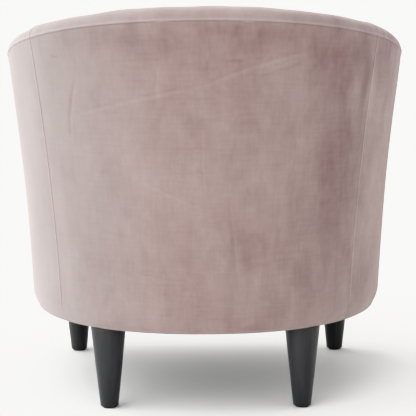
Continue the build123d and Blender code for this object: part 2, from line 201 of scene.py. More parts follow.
def readPlaces(piece):
    flat = np.empty(len(piece.data.vertices) * 3)
    piece.data.vertices.foreach_get("co", flat)
    return flat.reshape(-1, 3)


def writePlaces(piece, places):
    piece.data.vertices.foreach_set("co", places.astype(np.float32).ravel())
    piece.data.update()


def paint(piece, name, values):
    layer = piece.data.attributes.new(name, "FLOAT", "POINT")
    layer.data.foreach_set("value", values.astype(np.float32).ravel())


# a grid primitive with one vertex at each place, closed round its rows and filled at both ends
def closedGrid(name, places, **marks):
    columns, rows = places.shape[:2]
    deselect()
    bpy.ops.mesh.primitive_grid_add(x_subdivisions=columns - 1, y_subdivisions=rows - 1, size=1)
    piece = bpy.context.object
    piece.name = piece.data.name = name
    start = readPlaces(piece)
    column = np.rint((start[:, 0] + 0.5) * (columns - 1)).astype(int)
    row = np.rint((start[:, 1] + 0.5) * (rows - 1)).astype(int)
    writePlaces(piece, places[column, row])
    for mark, values in marks.items():
        paint(piece, mark, values[column, row])
    bpy.ops.object.mode_set(mode="EDIT")
    bpy.ops.mesh.select_all(action="SELECT")
    bpy.ops.mesh.remove_doubles(threshold=0.00001)
    bpy.ops.mesh.fill_holes(sides=0)
    bpy.ops.mesh.select_all(action="SELECT")
    bpy.ops.mesh.normals_make_consistent(inside=False)
    bpy.ops.object.mode_set(mode="OBJECT")
    bpy.ops.object.shade_smooth_by_angle(angle=radians(60))
    return piece


# raises the covered part of a cross-section, its first points, square to itself, and closes the loop again
def raised(out, z, lift):
    covered = lift.shape[1]
    along = np.gradient(np.stack([out[:, :covered], z[:, :covered]], axis=-1), axis=1)
    size = np.maximum(np.hypot(along[..., 0], along[..., 1]), 1e-9)
    out, z = out.copy(), z.copy()
    out[:, :covered] += lift * along[..., 1] / size
    z[:, :covered] -= lift * along[..., 0] / size
    out[:, -1], z[:, -1] = out[:, 0], z[:, 0]
    return out, z


# wraps a length of upholstery round the shell from the points of its cross-section
def wrap(name, arcs, out, z, lift, **marks):
    top = rimSeam(arcs)
    here = placesAt(slid(arcs[:, None], np.clip((z - shell["legHeight"]) / (top - shell["legHeight"]), 0, 1)))
    out, z = raised(out, z, lift)
    x = here["x"] + here["outX"] * out
    y = here["y"] + here["outY"] * out
    return closedGrid(name, np.stack([x, y, z], axis=-1), **marks)


# joins the parts of a cross-section into a closed loop
def loopOf(parts, count):
    columns = [np.broadcast_to(part, (count, part.shape[-1])) for part in parts]
    return np.concatenate(columns + [columns[0][:, :1]], axis=1)


# each length of upholstery: the arcs where it starts and stops
armLap = 0.0052
lengths = {
    "back": (-foot["seam"], foot["seam"]),
    "left": (foot["seam"], foot["front"] - armLap),
    "right": (-foot["front"] + armLap, -foot["seam"]),
}

# upright seams: the side panels lap over the back panel with a rolled edge
sideSeam = {
    "ridge": 0.0007, "ridgeAt": 0.0020, "ridgeWidth": 0.0016, "edge": 0.0008, "edgeDepth": 0.0003,
    "under": 0.0020, "underDepth": 0.0001, "front": 0.0024, "frontDepth": 0.0017,
    "gather": 0.0006, "gatherLength": 0.011, "gatherReach": 0.012,
    "shade": 0.35, "shine": 0.12, "underShade": 0.00125, "frontShade": 0.0015,
    # on the sitter's right the rolled edge faces the light
    "litShade": 0.2, "litShine": 12.0,
}


# how far the cover rises or dips beside an upright seam, with the painted shade in its fold and the painted
# highlight on its rolled edge
def foldSeam(across, part):
    s = sideSeam
    toSeam = np.abs(np.abs(across) - foot["seam"])
    if part == "back":
        shade = s["shade"] * np.where(across < 0, s["litShade"], 1)
        return -dip(toSeam, s["under"], s["underDepth"]), shade * bell(toSeam, s["underShade"])
    ridge = bell(toSeam - s["ridgeAt"], s["ridgeWidth"])
    toFront = foot["front"] - armLap - np.abs(across)
    edges = dip(toSeam, s["edge"], s["edgeDepth"]) + dip(toFront, s["front"], s["frontDepth"])
    shine = s["shine"] * np.where(across < 0, s["litShine"], 1)
    return s["ridge"] * ridge - edges, bell(toFront, s["frontShade"]) - shine * ridge


# small gathers where an upright seam meets the rim's seam
def gathers(across, toRim, seed):
    s = sideSeam
    toSeam = np.abs(np.abs(across) - foot["seam"])
    near = np.exp(-np.hypot(toSeam, toRim) / s["gatherReach"])
    return s["gather"] * uneven(across, toRim, s["gatherLength"], seed) * near


# nap brushed up or down by hand, with painted shade: the broad darker marks on the sitter's right also stand for the
# shade of that side; arc and height of a mark, half its width and height, lighter or darker
napAndShadeMarks = (
    (-0.240, 0.676, 0.200, 0.040, -0.13), (-0.239, 0.632, 0.075, 0.055, -0.13),
    (-0.246, 0.424, 0.056, 0.170, -0.20), (-0.360, 0.629, 0.055, 0.065, -0.23),
    (-0.318, 0.564, 0.010, 0.090, 0.05), (-0.298, 0.540, 0.016, 0.085, -0.15),
    (-0.285, 0.616, 0.020, 0.040, -0.09), (-0.200, 0.642, 0.035, 0.030, -0.08),
    (-0.390, 0.534, 0.013, 0.100, -0.07), (-0.349, 0.224, 0.040, 0.065, -0.10),
    (-0.142, 0.517, 0.042, 0.095, 0.02), (-0.130, 0.394, 0.050, 0.080, 0.03),
    (-0.083, 0.308, 0.026, 0.042, -0.16), (-0.059, 0.424, 0.027, 0.060, -0.05),
    (-0.030, 0.692, 0.036, 0.012, -0.10), (-0.110, 0.682, 0.030, 0.015, -0.09),
    (0.173, 0.461, 0.019, 0.027, -0.05), (0.146, 0.678, 0.065, 0.018, -0.08),
    (0.067, 0.662, 0.055, 0.027, -0.10), (0.255, 0.646, 0.010, 0.0024, -0.10),
    (-0.050, 0.640, 0.014, 0.0022, -0.14), (-0.044, 0.236, 0.012, 0.065, -0.06),
    (0.028, 0.248, 0.034, 0.016, -0.05), (-0.086, 0.165, 0.022, 0.007, -0.10),
    (-0.150, 0.226, 0.062, 0.055, -0.11), (0.094, 0.398, 0.090, 0.170, 0.06),
    (0.000, 0.200, 0.055, 0.035, -0.06), (0.150, 0.195, 0.045, 0.030, 0.06),
    (-0.470, 0.470, 0.060, 0.190, -0.11), (-0.440, 0.690, 0.070, 0.030, -0.12),
)


napEdge = {"ragged": 0.30, "length": 0.045, "upright": 0.5, "falloff": 1.5}


def brushNapAndShade(across, z):
    e = napEdge
    ragged = 1 + e["ragged"] * uneven(across, z * e["upright"], e["length"], 51)
    tone = np.zeros(across.shape)
    for arc, height, halfWidth, halfHeight, strength in napAndShadeMarks:
        far = ((across - arc) / halfWidth) ** 2 + ((z - height) / halfHeight) ** 2
        # nap patches and the painted shade of the sitter's right side, summed into one tone
        tone += strength * np.exp(-np.clip(far * ragged, 0, 20) ** e["falloff"])
    return tone


# painted sheen where the pile leans to the light, most on the sitter's left, and below zero on the far right, where
# the colour is painted deeper
sheenPaintLook = {"start": 0.02, "run": 0.28, "deep": 0.40, "deepStart": 0.30, "deepRun": 0.15}


def paintedSheenByArc(across):
    p = sheenPaintLook
    light = eased((across - p["start"]) / p["run"])
    return light - p["deep"] * eased((-across - p["deepStart"]) / p["deepRun"])


# outer cover and wadding
outerPad = {
    "step": 0.0030, "faceRun": 0.52, "topWidth": 0.0012, "topDepth": 0.0002, "back": 0.0097, "sewnFlat": 0.005,
    "swell": 0.0008, "wave": 0.0007, "waveLength": 0.16, "flatTop": 0.05, "flatEnd": 0.04, "flatFoot": 0.05,
    "pucker": 0.0003, "puckerLength": 0.022, "puckerReach": 0.016,
    "endPucker": 0.6, "endLength": 0.026, "endReach": 0.012,
    "topShade": 0.5, "shadeWidth": 0.0014,
    # creases pressed into the cloth: arc and height of three points, width, height of the ridge
    "creases": (
        ((0.228, 0.544), (0.104, 0.578), (-0.004, 0.599), 0.0042, 0.0005),
        ((0.006, 0.594), (-0.060, 0.631), (-0.168, 0.655), 0.0042, 0.0006),
        ((-0.085, 0.616), (-0.130, 0.626), (-0.165, 0.644), 0.0050, -0.0005),
        ((0.216, 0.604), (0.230, 0.570), (0.232, 0.544), 0.0035, -0.0006),
        ((0.234, 0.552), (0.236, 0.532), (0.239, 0.504), 0.0030, -0.0006),
        ((0.112, 0.436), (0.060, 0.406), (0.002, 0.384), 0.0035, 0.0003),
        ((0.135, 0.268), (0.080, 0.254), (0.026, 0.250), 0.0035, 0.0003),
        ((0.006, 0.594), (0.004, 0.504), (0.002, 0.414), 0.0030, -0.0003),
        ((-0.041, 0.424), (-0.048, 0.334), (-0.062, 0.219), 0.0040, -0.0004),
    ),
}


# creases fade at their ends; each is painted with shade on one side and a highlight on the other, placed in shares
# of the width
creaseLook = {
    "ends": 0.2, "least": 0.02, "fade": 0.6, "fullHeight": 0.0008, "reach": 3,
    "dark": 0.8, "darkAt": 0.5, "darkWidth": 0.5, "lightAt": -0.6, "lightWidth": 0.8,
}


def creaseMarks(across, z, creases):
    c = creaseLook
    lift = np.zeros(across.shape)
    mark = np.zeros(across.shape)
    for first, middle, last, width, height in creases:
        near = np.full(across.shape, 1e3)
        share, side = np.zeros((2, *across.shape))
        wayA, wayH = np.subtract(last, first) / np.hypot(*np.subtract(last, first))
        for t in np.linspace(0, 1, 60):
            a = (1 - t) ** 2 * first[0] + 2 * t * (1 - t) * middle[0] + t**2 * last[0]
            h = (1 - t) ** 2 * first[1] + 2 * t * (1 - t) * middle[1] + t**2 * last[1]
            far = np.hypot(across - a, z - h)
            share = np.where(far < near, t, share)
            side = np.where(far < near, (across - a) * wayH - (z - h) * wayA, side)
            near = np.minimum(near, far)
        fade = np.clip(np.minimum(share, 1 - share) / c["ends"], c["least"], 1) ** c["fade"]
        lift += height * fade * bell(near, width)
        # painted shade on one side of the crease, painted highlight on the other
        dark = c["dark"] * bell(side - c["darkAt"] * width, c["darkWidth"] * width)
        light = bell(side - c["lightAt"] * width, c["lightWidth"] * width)
        mark += height / c["fullHeight"] * fade * (near < c["reach"] * width) * (light - dark)
    return lift, mark


def makeOuter(part):
    s = outerPad
    start, stop = lengths[part]
    arcs = spaced(start, stop, s["step"])
    count = len(arcs)
    seam = rimSeam(arcs)
    share = spaced(0, s["faceRun"], s["step"], ends=(False, True)) / s["faceRun"]
    corner = bell(np.abs(arcs[:, None]) - cornerRoll["arc"], cornerRoll["reach"])
    rollTall = shell["footRadius"] + cornerRoll["tall"] * corner
    rollTop = shell["legHeight"] + rollTall
    faceZ = rollTop + share * (seam - sewGap - rollTop)
    under = np.linspace(-shell["tuck"], -shell["footRadius"], 6)[:-1]
    turn = np.linspace(0, pi / 2, 10)[:-1]
    rollOut = -shell["footRadius"] + (shell["footRadius"] + lean(rollTop)) * np.sin(turn)
    # it still goes round the foot of the lining board
    rollOut[:, 1:] = np.maximum(rollOut[:, 1:], -cornerRoll["linerCover"])
    rollZ = rollTop - rollTall * np.cos(turn)
    backZ = np.linspace(0, 1, 16) * (shell["railLow"] - sewGap - seam) + seam - sewGap
    last = np.array([-shell["tuck"]])
    out = loopOf([under, rollOut, lean(faceZ), lean(backZ) - s["back"], last], count)
    underZ, lastZ = under * 0 + shell["legHeight"], last * 0 + shell["railLow"] - sewGap
    z = loopOf([underZ, rollZ, faceZ, backZ, lastZ], count)
    first = len(under) + len(turn)
    face = slice(first, first + faceZ.shape[1])
    across = arcs[:, None] + 0 * faceZ
    toTop = seam - faceZ
    toEnd = np.minimum(np.abs(across - start), np.abs(across - stop))
    flat = upTo(toTop, s["flatTop"]) * upTo(toEnd, s["flatEnd"])
    flat = flat * upTo(faceZ - rollTop, s["flatFoot"])
    rise, creaseShadeAndHighlight = creaseMarks(across, faceZ, s["creases"])
    rise += s["swell"] * flat + s["wave"] * uneven(across, faceZ * 0.6, s["waveLength"], 3) * flat
    pucker = uneven(across, faceZ * 0.3, s["puckerLength"], 5) * np.exp(-toTop / s["puckerReach"])
    endPucker = uneven(faceZ, across * 0.3, s["endLength"], 6) * np.exp(-toEnd / s["endReach"])
    rise += s["pucker"] * (pucker + s["endPucker"] * endPucker)
    rise = (rise + gathers(across, toTop, 7)) * upTo(toTop, s["sewnFlat"])
    rise -= dip(toTop, s["topWidth"], s["topDepth"])
    fold, foldShade = foldSeam(arcs[:, None], part)
    lift = np.concatenate([0 * under + 0 * fold, fold * np.sin(turn) ** 4, rise + fold], axis=1)
    seamShade, crease = np.zeros((2, *out.shape))
    seamShade[:, face] = foldShade + s["topShade"] * bell(toTop, s["shadeWidth"])
    crease[:, face] = creaseShadeAndHighlight
    around = arcs[:, None] + 0 * z
    # paints the nap patches, partly painted shade, and the painted sheen of the lit side
    piece = wrap(f"outer_panel_{part}", arcs, out, z, lift, seam=seamShade, crease=crease,
                 nap=brushNapAndShade(around, z), frost=paintedSheenByArc(around))
    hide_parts(f"outer_cover_{part}", f"outer_wadding_{part}")
    return piece


# rolled rim: cover and foam, its outer edge turned over the panel below
rimPad = {
    "step": 0.0042, "roundStep": 0.0036, "sewnFlat": 0.004,
    "lipWidth": 0.0010, "lipDepth": 0.0003, "lip": 0.0010, "lipAt": 0.0027, "lipReach": 0.0020, "lipShine": 1.1,
    "wave": 0.0006, "waveLength": 0.09, "flat": 0.02,
    "pucker": 0.0005, "puckerLength": 0.020, "puckerReach": 0.012, "endReach": 0.010,
    "full": 0.0045, "fullArc": -0.37, "fullReach": 0.09, "seamShade": 0.6, "shadeWidth": 0.0009,
    # the rim's tone is lifted as painted light on its upward face, and it gets painted sheen that fades out towards
    # the sitter's right end
    "lightTone": 0.08, "rimSheenPaint": 0.38, "sheenPaintStart": -0.40, "sheenPaintRun": 0.2,
}


def makeRim(part):
    s = rimPad
    start, stop = lengths[part]
    arcs = spaced(start, stop, s["step"])
    count = len(arcs)
    seam = rimSeam(arcs)
    along = spaced(0, rollRun, s["roundStep"])
    faceOut = lean(seam) + np.interp(along, roll["arc"], roll["out"])
    faceZ = seam + np.interp(along, roll["arc"], roll["up"])
    chord = lean(seam) - shell["rimWidth"] + np.linspace(0, 1, 12)[1:-1] * shell["rimWidth"]
    out = loopOf([faceOut, chord], count)
    z = loopOf([faceZ, seam + 0 * chord], count)
    face = slice(0, faceOut.shape[1])
    toOuter = along + 0 * faceOut
    toSeam = np.minimum(toOuter, rollRun - toOuter)
    across = arcs[:, None] + 0 * faceOut
    toEnd = np.minimum(np.abs(across - start), np.abs(across - stop))
    lip = bell(toSeam - s["lipAt"], s["lipReach"])
    fold, foldShade = foldSeam(across, part)
    wave = uneven(across, toOuter, s["waveLength"], 11) * upTo(toSeam, s["flat"])
    pucker = uneven(across, toOuter * 0.3, s["puckerLength"], 12) * np.exp(-toSeam / s["puckerReach"])
    pucker += uneven(toOuter, across * 0.3, s["puckerLength"], 13) * np.exp(-toEnd / s["endReach"])
    loose = s["pucker"] * pucker + gathers(across, toOuter, 14)
    rise = s["lip"] * lip + s["wave"] * wave + loose * upTo(toSeam, s["sewnFlat"])
    rise += s["full"] * bell(across - s["fullArc"], s["fullReach"]) * np.sin(pi * toOuter / rollRun)
    rise += fold - dip(toSeam, s["lipWidth"], s["lipDepth"])
    seamShade = np.zeros(out.shape)
    sewn = s["seamShade"] * bell(toSeam, s["shadeWidth"])
    seamShade[:, face] = np.maximum(foldShade, sewn) - s["lipShine"] * lip
    around = arcs[:, None] + 0 * z
    # painted sheen, fading out towards the sitter's right end, and the rim's tone lifted as painted light on its
    # upward face
    frost = paintedSheenByArc(around) + s["rimSheenPaint"] * upTo(around - s["sheenPaintStart"], s["sheenPaintRun"])
    piece = wrap(f"rim_roll_{part}", arcs, out, z, rise, seam=seamShade,
                 nap=brushNapAndShade(around, z) + s["lightTone"], frost=np.minimum(frost, 1))
    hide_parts(f"rim_cover_{part}", f"rim_foam_{part}")
    return piece


# inside of the shell: cover and foam, a little fuller above the seat
innerPad = {
    "step": 0.0048, "seamWidth": 0.0050, "seamDepth": 0.0036, "topWidth": 0.0050, "topDepth": 0.0036,
    "back": 0.0553, "turnIn": 0.0019, "faceRun": 0.37, "fine": 0.0011, "flatTop": 0.03, "flatEnd": 0.05,
    "crown": 0.005, "seatLevel": 0.459, "leastRise": 0.05, "wave": 0.0010, "waveLength": 0.13,
    "pucker": 0.0005, "puckerLength": 0.021, "puckerReach": 0.014, "topShade": 0.002, "endShade": 0.0018,
}


def makeInner(part):
    s = innerPad
    start, stop = lengths[part]
    arcs = spaced(start, stop, s["step"], fine=s["fine"])
    count = len(arcs)
    seam = rimSeam(arcs)
    share = spaced(0, s["faceRun"], s["step"], ends=(True, False)) / s["faceRun"]
    topZ = seam - sewGap
    faceZ = topZ + share * (shell["deckLow"] + sewGap - topZ)
    faceOut = lean(faceZ) - innerDepth(faceZ, seam)
    lowZ = np.linspace(shell["deckLow"], shell["wallLow"], 5)
    lowOut = lean(lowZ) - shell["seatWall"] + s["turnIn"]
    backZ = np.linspace(0, 1, 14) * (topZ - shell["wallLow"]) + shell["wallLow"]
    out = loopOf([faceOut, lowOut, lean(backZ) - s["back"]], count)
    z = loopOf([faceZ, lowZ, backZ], count)
    across = arcs[:, None] + 0 * faceZ
    toTop = seam - faceZ
    toEnd = np.minimum(np.abs(across - start), np.abs(across - stop))
    above = np.clip((faceZ - s["seatLevel"]) / np.maximum(seam - s["seatLevel"], s["leastRise"]), 0, 1)
    flat = upTo(toTop, s["flatTop"]) * upTo(toEnd, s["flatEnd"])
    face = s["crown"] * np.sin(pi * above) * np.sqrt(flat)
    face += s["wave"] * uneven(across, faceZ * 0.7, s["waveLength"], 21) * flat * np.clip(above * 6, 0, 1)
    face += s["pucker"] * uneven(across, faceZ * 0.3, s["puckerLength"], 22) * np.exp(-toTop / s["puckerReach"])
    face -= dip(toTop, s["topWidth"], s["topDepth"]) + dip(toEnd, s["seamWidth"], s["seamDepth"])
    seamShade = np.zeros(out.shape)
    seamShade[:, :faceZ.shape[1]] = np.maximum(bell(toTop, s["topShade"]), bell(toEnd, s["endShade"]))
    piece = wrap(f"inner_panel_{part}", arcs, out, z, face, seam=seamShade)
    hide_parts(f"inner_cover_{part}", f"inner_foam_{part}")
    return piece


velvetPieces = []
for part in lengths:
    velvetPieces += [makeOuter(part), makeRim(part), makeInner(part)]
print("shell panels sewn:", len(velvetPieces))


# front of each arm: a narrow padded panel with a rolled edge
armPad = {
    "inset": 0.0008, "edgeWidth": 0.0055, "edgeDepth": 0.0042, "thickness": 0.0050, "crown": 0.0030,
    "up": 0.0060, "upRun": 0.5, "across": 0.0040, "acrossRun": 0.11, "frontSet": 0.0006,
    "plump": 0.05, "crownReach": 0.022, "pucker": 0.0004, "puckerLength": 0.021, "puckerReach": 0.010,
    "shadeWidth": 0.0018,
}


def makeArmFront(side, part):
    s = armPad
    seam = float(placesAt(np.array([side * foot["front"]]))["seam"][0])
    v = spaced(0, s["upRun"], s["up"])[:, None] / s["upRun"]
    u = spaced(0, s["acrossRun"], s["across"])[None, :] / s["acrossRun"]
    topOut = lean(seam) + np.interp(u * rollRun, roll["arc"], roll["out"])
    topZ = seam + np.interp(u * rollRun, roll["arc"], roll["up"])
    topShare = (lean(seam) - topOut) / shell["rimWidth"]
    lowOut = -u * seatFace
    radius = shell["footRadius"]
    lowZ = knee - np.sqrt(np.clip(radius**2 - np.clip(lowOut + radius, 0, radius) ** 2, 0, None))
    z = lowZ + v * (topZ - lowZ)
    level = np.minimum(z, seam)
    edge = lean(level)
    wide = np.where(z < shell["deckLow"], seatFace + lean(level), innerDepth(level, seam))
    share = (1 - v) * u + v * topShare
    out = edge - share * wide
    plump = upTo(v, s["plump"])
    toSide = np.minimum(share, 1 - share) * wide
    toTop = np.maximum(topZ - z, 0)
    toLow = np.maximum(z - lowZ, 0)
    toEdge = np.minimum(toSide, np.minimum(toTop, toLow))
    crown = s["crown"] * (1 - np.exp(-toEdge / s["crownReach"])) * plump
    pucker = s["pucker"] * uneven(z, out, s["puckerLength"], 31 + side) * np.exp(-toEdge / s["puckerReach"])
    back = dip(toEdge, s["edgeWidth"], s["edgeDepth"]) - crown - pucker
    middleOut = edge - wide / 2
    out = out + (middleOut - out) * s["inset"] * 2 / wide
    front = np.stack([side * (shell["width"] / 2 + out), frontY + s["frontSet"] + back, z], axis=-1)
    rear = front.copy()
    rear[..., 1] = frontY + s["thickness"]
    places = np.concatenate([front, rear[:, ::-1], front[:, :1]], axis=1)
    ends = np.concatenate([rear, rear[:, ::-1], rear[:, :1]], axis=1)
    places = np.concatenate([ends[:1], places, ends[-1:]])
    shade = bell(toEdge, s["shadeWidth"])
    shade = np.concatenate([shade, shade[:, ::-1], shade[:, :1]], axis=1)
    piece = closedGrid(f"arm_front_{part}", places, seam=np.pad(shade, ((1, 1), (0, 0)), mode="edge"))
    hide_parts(f"arm_front_cover_{part}", "arm_front_padding")
    return piece


velvetPieces += [makeArmFront(1, "left"), makeArmFront(-1, "right")]


# border under the front of the cushion, rolled at its foot and turned back over the deck
borderPad = {
    "half": shell["width"] / 2 - seatFace - sewGap, "return": 0.046, "topRadius": 0.0091, "lining": 0.0098,
    "under": 0.022, "seamWidth": 0.0046, "seamDepth": 0.0040, "crown": 0.0022, "step": 0.0060,
    "flatFoot": 0.05, "flatTop": 0.03, "flatEnd": 0.04, "wave": 0.0006, "waveLength": 0.12, "shadeWidth": 0.0018,
}


def makeBorder():
    s = borderPad
    x = spaced(-s["half"], s["half"], s["step"])
    turn = np.linspace(0, pi / 2, 9)
    r = s["topRadius"]
    low = shell["footRadius"]
    high = shell["deckHigh"]
    # forward of the back of the foot line, and height
    profile = [(shell["depth"] - d, shell["legHeight"]) for d in (shell["tuck"], s["under"])]
    profile += [(shell["depth"] - low + low * sin(t), knee - low * cos(t)) for t in turn]
    profile += [(shell["depth"], z) for z in np.linspace(knee, high - r, 26)[1:-1]]
    profile += [(shell["depth"] - r + r * cos(t), high - r + r * sin(t)) for t in turn]
    profile += [(shell["depth"] - d, high) for d in np.linspace(r, s["return"], 8)[1:]]
    faceCount = len(profile)
    profile += [(shell["depth"] - d, shell["deckLow"]) for d in (s["return"], s["lining"])]
    profile += [(shell["depth"] - s["lining"], z) for z in np.linspace(shell["deckLow"], shell["railLow"], 6)[1:]]
    profile += [(shell["depth"] - shell["tuck"], shell["railLow"])]
    profile = np.array(profile + profile[:1])
    out = np.broadcast_to(profile[:, 0], (len(x), len(profile)))
    z = np.broadcast_to(profile[:, 1], (len(x), len(profile)))
    toEnd = (s["half"] - np.abs(x))[:, None]
    middle = upTo(z - knee, s["flatFoot"]) * upTo(high - r - z, s["flatTop"])
    free = upTo(z - shell["legHeight"], low) ** 4 * upTo(high - z, r) ** 2
    lift = s["crown"] * middle * upTo(toEnd, s["flatEnd"])
    lift = lift + s["wave"] * uneven(x[:, None], z, s["waveLength"], 41) * middle
    lift = lift - dip(toEnd, s["seamWidth"], s["seamDepth"]) * free
    out, z = raised(out, z, lift[:, :faceCount])
    places = np.stack([np.broadcast_to(x[:, None], z.shape), backY - out, z], axis=-1)
    shade = bell(toEnd, s["shadeWidth"]) * np.ones(z.shape)
    piece = closedGrid("front_border", places, seam=shade)
    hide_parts("front_border_cover", "front_border_padding")
    return piece


velvetPieces.append(makeBorder())
print("arm fronts and border sewn")


# flat horseshoe outline inside the shell's foot, anticlockwise from the sitter's right, evenly spaced
def planOutline(depth, forward, corner, count, draw=0.0):
    half = shell["width"] / 2 - depth
    front = backY - forward
    arcs = np.linspace(-foot["front"], foot["front"], 900)
    here = placesAt(arcs)
    bend = np.stack([here["x"] - here["outX"] * depth, here["y"] - here["outY"] * depth], axis=-1)
    bend = bend[bend[:, 1] > front + corner][::-1]
    turn = np.linspace(0, pi / 2, 14)
    inner = half - corner
    rightCorner = np.stack([-inner - corner * np.cos(turn), front + corner - corner * np.sin(turn)], axis=-1)
    edge = np.linspace(-inner, inner, 60)[1:-1]
    frontEdge = np.stack([edge, front + draw * (1 - (edge / inner) ** 2)], axis=-1)
    leftCorner = rightCorner[::-1] * [-1, 1]
    line = np.concatenate([bend, rightCorner, frontEdge, leftCorner])
    line = np.concatenate([line, line[:1]])
    arc = np.append(0, np.cumsum(np.hypot(*np.diff(line, axis=0).T)))
    steps = np.linspace(0, arc[-1], count, endpoint=False)
    return np.stack([np.interp(steps, arc, line[:, 0]), np.interp(steps, arc, line[:, 1])], axis=-1)


# a cylinder primitive pressed into an outline that may differ at its foot and its top
def outlinePiece(name, low, high, lowLine, highLine):
    count = len(lowLine)
    deselect()
    bpy.ops.mesh.primitive_cylinder_add(vertices=count, radius=1, depth=1, end_fill_type="NGON")
    piece = bpy.context.object
    piece.name = piece.data.name = name
    places = readPlaces(piece)
    index = np.rint(np.arctan2(places[:, 1], places[:, 0]) / (2 * pi) * count).astype(int) % count
    top = places[:, 2] > 0
    flat = np.where(top[:, None], highLine[index], lowLine[index])
    writePlaces(piece, np.column_stack([flat, np.where(top, high, low)]))
    return piece


# loose seat cushion, blown up as cloth inside its cover
cushion = {
    "low": 0.3283, "height": 0.106, "clearance": 0.003, "frontSet": 0.004, "draw": 0.006, "corner": 0.038,
    "outline": 220, "slack": 0.007, "topSlack": 0.008, "voxel": 0.006, "frames": 20,
    "cloth": {
        "quality": 6, "mass": 0.3, "tension_stiffness": 12, "compression_stiffness": 12, "shear_stiffness": 6,
        "bending_stiffness": 0.6, "use_pressure": True, "uniform_pressure_force": 4.0,
    },
    "rise": 0.025, "swell": 0.009, "frontSwell": 0.014, "drawIn": 0.004, "sink": 0.004, "lift": 0.0012,
    "seamWidth": 0.0075, "seamDepth": 0.0050, "shadeWidth": 0.004,
}


def cushionLine(z, slack):
    c = cushion
    depth = shell["seatWall"] - lean(z) + c["clearance"] + slack
    return planOutline(depth, shell["depth"] - c["frontSet"] - slack, c["corner"], c["outline"], c["draw"])


# eases a movement off towards its limits, back and forth
def held(move, back, forth):
    return np.where(move < 0, back * np.tanh(move / back), forth * np.tanh(move / forth))


def makeCushion():
    c = cushion
    low, high = c["low"], c["low"] + c["height"] - c["topSlack"]
    piece = outlinePiece("seat_cushion", low, high, cushionLine(low, c["slack"]), cushionLine(high, c["slack"]))
    remesh = piece.modifiers.new("even mesh", "REMESH")
    remesh.mode = "VOXEL"
    remesh.voxel_size = c["voxel"]
    bpy.ops.object.modifier_apply(modifier=remesh.name)
    start = readPlaces(piece)
    cloth = piece.modifiers.new("stuffing", "CLOTH")
    for key, value in c["cloth"].items():
        setattr(cloth.settings, key, value)
    cloth.settings.effector_weights.gravity = 0
    cloth.point_cache.frame_end = c["frames"]
    for step in range(1, c["frames"] + 1):
        bpy.context.scene.frame_set(step)
    bpy.ops.object.modifier_apply(modifier=cloth.name)
    move = readPlaces(piece) - start
    print("cushion cloth moved up to", round(float(np.linalg.norm(move, axis=1).max()) * 1000, 1), "mm")
    # the cloth swells up and out as far as the arms let it, and draws in only a little
    away = start[:, :2] - start[:, :2].mean(axis=0)
    away /= np.linalg.norm(away, axis=1)[:, None]
    outward = np.sum(move[:, :2] * away, axis=1)
    room = c["swell"] + (c["frontSwell"] - c["swell"]) * np.clip(-away[:, 1], 0, 1) ** 2
    move[:, :2] += away * (held(outward, c["drawIn"], room) - outward)[:, None]
    upper = start[:, 2] > (low + high) / 2
    move[:, 2] = np.where(upper, held(move[:, 2], c["sink"], c["rise"]), held(move[:, 2], c["rise"], c["lift"]))
    places = start + move
    places[:, 2] = np.maximum(places[:, 2], low)
    writePlaces(piece, places)
    return piece, start, high


seat, seatStart, seatTop = makeCushion()


# sewn edges of the cushion: the cloth dips along the upper seam of its side band, and both seams are shaded
def sewCushion(piece, start, high):
    c = cushion
    line = cushionLine(high, c["slack"])
    loop = np.concatenate([line, line[:1]])
    toSide = np.full(len(start), 1e3)
    for first, last in zip(loop[:-1], loop[1:]):
        edge = last - first
        share = np.clip(((start[:, :2] - first) @ edge) / (edge @ edge), 0, 1)
        toSide = np.minimum(toSide, np.linalg.norm(start[:, :2] - first - share[:, None] * edge, axis=1))
    toTopSeam = np.hypot(toSide, high - start[:, 2])
    toLowSeam = np.hypot(toSide, start[:, 2] - c["low"])
    toSeam = np.minimum(toTopSeam, toLowSeam)
    normals = np.empty(len(start) * 3)
    piece.data.vertices.foreach_get("normal", normals)
    fold = dip(toTopSeam, c["seamWidth"], c["seamDepth"])
    places = readPlaces(piece) - normals.reshape(-1, 3) * fold[:, None]
    writePlaces(piece, places)
    paint(piece, "seam", bell(toSeam, c["shadeWidth"]))
    smooth = piece.modifiers.new("smooth cover", "SUBSURF")
    smooth.levels = smooth.render_levels = 1
    deselect()
    piece.select_set(True)
    bpy.context.view_layer.objects.active = piece
    bpy.ops.object.modifier_apply(modifier=smooth.name)
    bpy.ops.object.shade_smooth()


sewCushion(seat, seatStart, seatTop)
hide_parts("cushion_cover", "cushion_core")
print("cushion stuffed:", len(seat.data.polygons), "faces")


# a flat piece laid ring by ring: each ring has a depth inside the foot line, a reach forward, a corner and a height
def ringPiece(name, rings):
    count = 200
    places = []
    for depth, forward, corner, z in rings:
        line = planOutline(depth, forward, corner, count)
        places.append(np.column_stack([line, np.full(count, z)]))
    places = np.array(places)
    places = np.concatenate([places, places[:, :1]], axis=1)
    return closedGrid(name, places)


# deck under the cushion, with a rounded edge and a slight hollow where it is sat on
deck = {
    "low": 0.3008, "high": shell["deckHigh"], "depth": seatFace + 0.003, "reach": shell["depth"] - 0.0463,
    "corner": 0.010,
    # inward from the edge, and how far down
    "steps": (
        (0.0, 0.0045), (0.0010, 0.0018), (0.0030, 0.0004), (0.006, 0.0), (0.03, 0.0), (0.07, 0.0006), (0.11, 0.0012),
    ),
}


def makeDeck():
    d = deck
    inmost = d["steps"][-1][0]
    rings = [(d["depth"] + step, d["reach"] - step, d["corner"], d["low"]) for step in (inmost, 0.0)]
    rings += [(d["depth"] + step, d["reach"] - step, d["corner"], d["high"] - drop) for step, drop in d["steps"]]
    piece = ringPiece("seat_deck", rings)
    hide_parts("platform_cloth", "platform_foam")
    return piece


deckPad = makeDeck()


